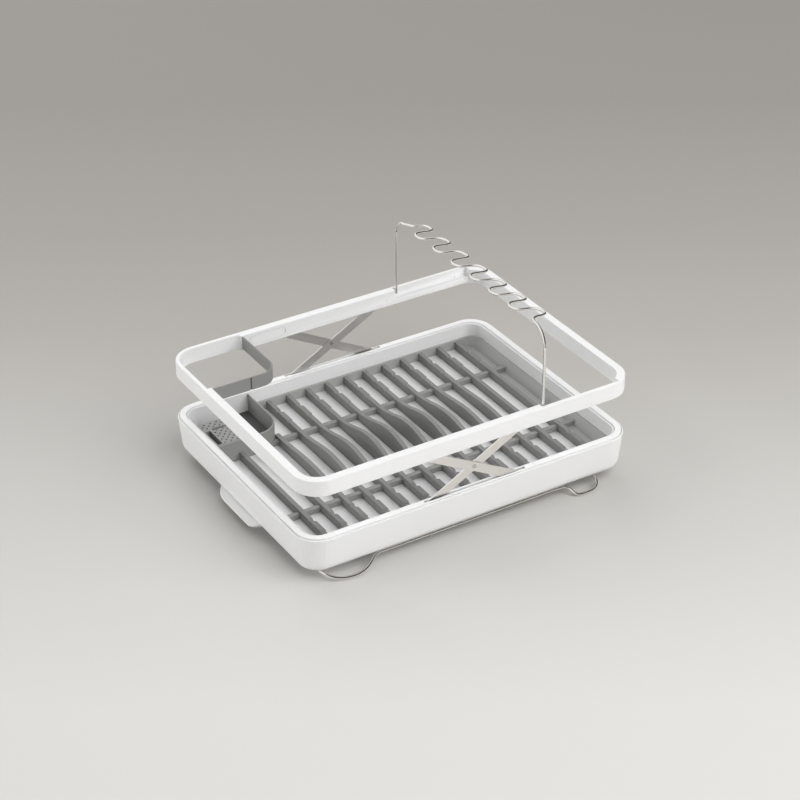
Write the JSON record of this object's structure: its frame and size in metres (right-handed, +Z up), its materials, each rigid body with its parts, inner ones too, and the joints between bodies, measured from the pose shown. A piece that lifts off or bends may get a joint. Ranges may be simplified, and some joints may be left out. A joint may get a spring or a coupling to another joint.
{
  "type": "dish rack",
  "caption": "Collapsible countertop dish rack: drip tray with plate dividers and utensil caddy, lift-up frame on scissor bars, fold-down stemware wire.",
  "frame": {"origin": "on the worktop under the middle of the rack's outline", "axes": "+X along the long side, away from the utensil caddy; +Y to the side where the caddy is; +Z up"},
  "size_m": [0.487, 0.3758, 0.2545],
  "materials": {
    "white_plastic": "satin moulded white",
    "grey_plastic": "fine matt moulded grey",
    "bar_steel": "brushed along the bar",
    "wire_steel": "polished wire"
  },
  "bodies": {
    "stand": {"drip_tray": "white_plastic", "tray_liner": "white_plastic", "rim_cap": "white_plastic", "rim_stop_back": "white_plastic", "rim_stop_front": "white_plastic", "insert_frame_left": "grey_plastic", "insert_frame_front": "grey_plastic", "insert_frame_back": "grey_plastic", "insert_frame_right": "grey_plastic", "insert_cross_bar_back": "grey_plastic", "insert_cross_bar_front": "grey_plastic", "caddy_tub": "grey_plastic", "caddy_grate": "grey_plastic", "wire_foot_frame": "wire_steel", "lower_track_back": "white_plastic", "lower_track_front": "white_plastic", "lower_pivot_pin_back": "wire_steel", "lower_pivot_pin_front": "wire_steel", "plate_divider_01": "grey_plastic", "plate_divider_02": "grey_plastic", "plate_divider_03": "grey_plastic", "plate_divider_04": "grey_plastic", "plate_divider_05": "grey_plastic", "plate_divider_06": "grey_plastic", "plate_divider_07": "grey_plastic", "plate_divider_08": "grey_plastic", "plate_divider_09": "grey_plastic", "plate_divider_10": "grey_plastic", "plate_divider_11": "grey_plastic", "plate_divider_12": "grey_plastic", "plate_divider_13": "grey_plastic", "plate_divider_14": "grey_plastic"},
    "rising_bar_back": {"rising_bar_back": "bar_steel", "centre_rivet_back": "wire_steel", "upper_slide_pin_back": "wire_steel"},
    "falling_bar_back": {"falling_bar_back": "bar_steel", "lower_slide_pin_back": "wire_steel"},
    "rising_bar_front": {"rising_bar_front": "bar_steel", "centre_rivet_front": "wire_steel", "upper_slide_pin_front": "wire_steel"},
    "falling_bar_front": {"falling_bar_front": "bar_steel", "lower_slide_pin_front": "wire_steel"},
    "top_frame": {"top_frame": "white_plastic", "blank_plate": "white_plastic", "utensil_band_front": "grey_plastic", "utensil_band_corner": "grey_plastic", "upper_pivot_pin_back": "wire_steel", "upper_pivot_pin_front": "wire_steel"},
    "stemware_holder": {"stemware_holder": "wire_steel"}
  },
  "joints": [
    {"name": "frame_fold", "type": "hinge", "parent": "stand", "child": "rising_bar_back", "pos_m": [-0.06767, 0.1757, 0.057], "axis": [0, 1, 0], "range_deg": [0, 21.79]},
    {"name": "back_rivet", "type": "hinge", "parent": "rising_bar_back", "child": "falling_bar_back", "pos_m": [0.0025, 0.1773, 0.0948], "axis": [0, 1, 0], "range_deg": [-43.58, 0]},
    {"name": "frame_pivot", "type": "hinge", "parent": "falling_bar_back", "child": "top_frame", "pos_m": [-0.06767, 0.1773, 0.1326], "axis": [0, 1, 0], "range_deg": [0, 21.79]},
    {"name": "front_bar_pivot", "type": "hinge", "parent": "stand", "child": "rising_bar_front", "pos_m": [-0.06767, -0.1757, 0.057], "axis": [0, 1, 0], "range_deg": [0, 21.79]},
    {"name": "front_rivet", "type": "hinge", "parent": "rising_bar_front", "child": "falling_bar_front", "pos_m": [0.0025, -0.1773, 0.0948], "axis": [0, 1, 0], "range_deg": [-43.58, 0]},
    {"name": "stemware_fold", "type": "hinge", "parent": "top_frame", "child": "stemware_holder", "pos_m": [0.105, 0, 0.1425], "axis": [0, 1, 0], "range_deg": [0, 90]}
  ],
  "couplings": [
    {"joint": "back_rivet", "follows": "frame_fold", "ratio": -2},
    {"joint": "frame_pivot", "follows": "frame_fold", "ratio": 1},
    {"joint": "front_bar_pivot", "follows": "frame_fold", "ratio": 1},
    {"joint": "front_rivet", "follows": "frame_fold", "ratio": -2}
  ]
}
